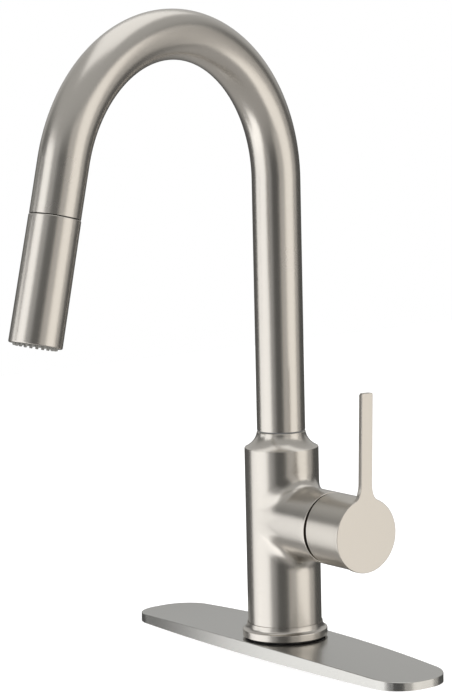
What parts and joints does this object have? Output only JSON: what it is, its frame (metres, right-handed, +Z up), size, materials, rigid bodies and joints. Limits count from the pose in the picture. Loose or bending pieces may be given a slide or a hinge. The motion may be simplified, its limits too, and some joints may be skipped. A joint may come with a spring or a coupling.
{
  "type": "pull down kitchen faucet",
  "caption": "Gooseneck kitchen faucet with a deck plate, side lever, swivelling spout and a pull-down spray head on a hose.",
  "frame": {"origin": "on the body's axis at the level of the worktop, where the mounting shank goes through the deck hole", "axes": "+Z up along the body's axis, +X along the deck plate towards the handle, -Y over the sink"},
  "size_m": [0.254, 0.2325, 0.5032],
  "materials": {
    "brushed_nickel": "satin brushed",
    "plate_nickel": "satin brushed along its length",
    "brass": "machined",
    "steel": "machined",
    "magnet": "nickel plated",
    "dark_rubber": "matte",
    "grey_rubber": "soft matte",
    "white_plastic": "moulded",
    "grey_plastic": "moulded",
    "ceramic": "lapped ceramic",
    "braid": "braided nylon"
  },
  "bodies": {
    "body": {"deck_plate": "plate_nickel", "plate_underlay": "white_plastic", "deck_gasket": "dark_rubber", "base_seal": "dark_rubber", "base_ring": "brushed_nickel", "body_shell": "brushed_nickel", "valve_block": "brass", "outlet_tube": "steel", "cold_inlet_tube": "steel", "hot_inlet_tube": "steel", "mounting_shank": "brass", "rubber_washer": "dark_rubber", "steel_washer": "steel", "mounting_nut": "brass", "nut_screw_left": "steel", "nut_screw_right": "steel", "upper_bearing": "grey_plastic", "lower_bearing": "grey_plastic", "cartridge_seal": "dark_rubber", "cartridge_base": "white_plastic", "fixed_ceramic_disc": "ceramic", "cartridge_housing": "white_plastic", "bonnet_nut": "brass", "bonnet_trim": "magnet"},
    "cartridge_rotor": {"rotor_guide": "grey_plastic", "pivot_pin": "steel"},
    "disc_slider": {"moving_ceramic_disc": "ceramic", "disc_carrier": "grey_plastic"},
    "handle": {"handle": "brushed_nickel", "lever_stem": "steel", "set_screw": "steel", "set_screw_plug": "grey_plastic"},
    "spout": {"spout_tube": "brushed_nickel", "spout_hub": "brass", "spout_clip": "steel", "swivel_o_ring_upper": "dark_rubber", "swivel_o_ring_lower": "dark_rubber", "spray_hose": "braid", "hose_quick_connector": "grey_plastic", "dock_guide": "grey_plastic", "dock_magnet": "magnet"},
    "hose_end": {"hose_end_fitting": "brass", "fitting_o_ring": "dark_rubber"},
    "wand": {"wand_shell": "brushed_nickel", "wand_core": "grey_plastic", "dock_striker": "steel", "check_valve": "white_plastic", "core_lock_ring": "grey_plastic"},
    "spray_face": {"diverter_disc": "ceramic", "face_carrier": "grey_plastic", "nozzle_pad": "grey_rubber", "face_plate": "grey_plastic", "aerator_housing": "white_plastic", "aerator_screen": "steel"}
  },
  "joints": [
    {"name": "spout_swivel", "type": "hinge", "parent": "body", "child": "spout", "pos_m": [0, 0, 0.1297], "axis": [0, 0, 1], "continuous": true},
    {"name": "handle_temperature", "type": "hinge", "parent": "body", "child": "cartridge_rotor", "pos_m": [0.036, 0, 0.0782], "axis": [1, 0, 0], "range_deg": [-43.3, 46.7]},
    {"name": "handle_flow", "type": "hinge", "parent": "cartridge_rotor", "child": "handle", "pos_m": [0.036, 0, 0.0782], "axis": [0, 0.9996, -0.0297], "range_deg": [0, 7.5]},
    {"name": "disc_slide", "type": "slide", "parent": "cartridge_rotor", "child": "disc_slider", "axis": [0, 0.0297, 0.9996], "range_m": [0, 0.00135]},
    {"name": "spray_pull", "type": "slide", "parent": "spout", "child": "hose_end", "axis": [0.0461, -0.2461, -0.9681], "range_m": [0, 0.4], "deforming": ["spray_hose"]},
    {"name": "wand_swivel", "type": "hinge", "parent": "hose_end", "child": "wand", "pos_m": [0.03245, -0.17339, 0.26814], "axis": [0.0461, -0.2461, -0.9681], "continuous": true},
    {"name": "spray_mode", "type": "hinge", "parent": "wand", "child": "spray_face", "pos_m": [0.03245, -0.17339, 0.26814], "axis": [0.0461, -0.2461, -0.9681], "range_deg": [0, 60]}
  ],
  "couplings": [
    {"joint": "disc_slide", "follows": "handle_flow", "m_per_rad": 0.0098}
  ]
}
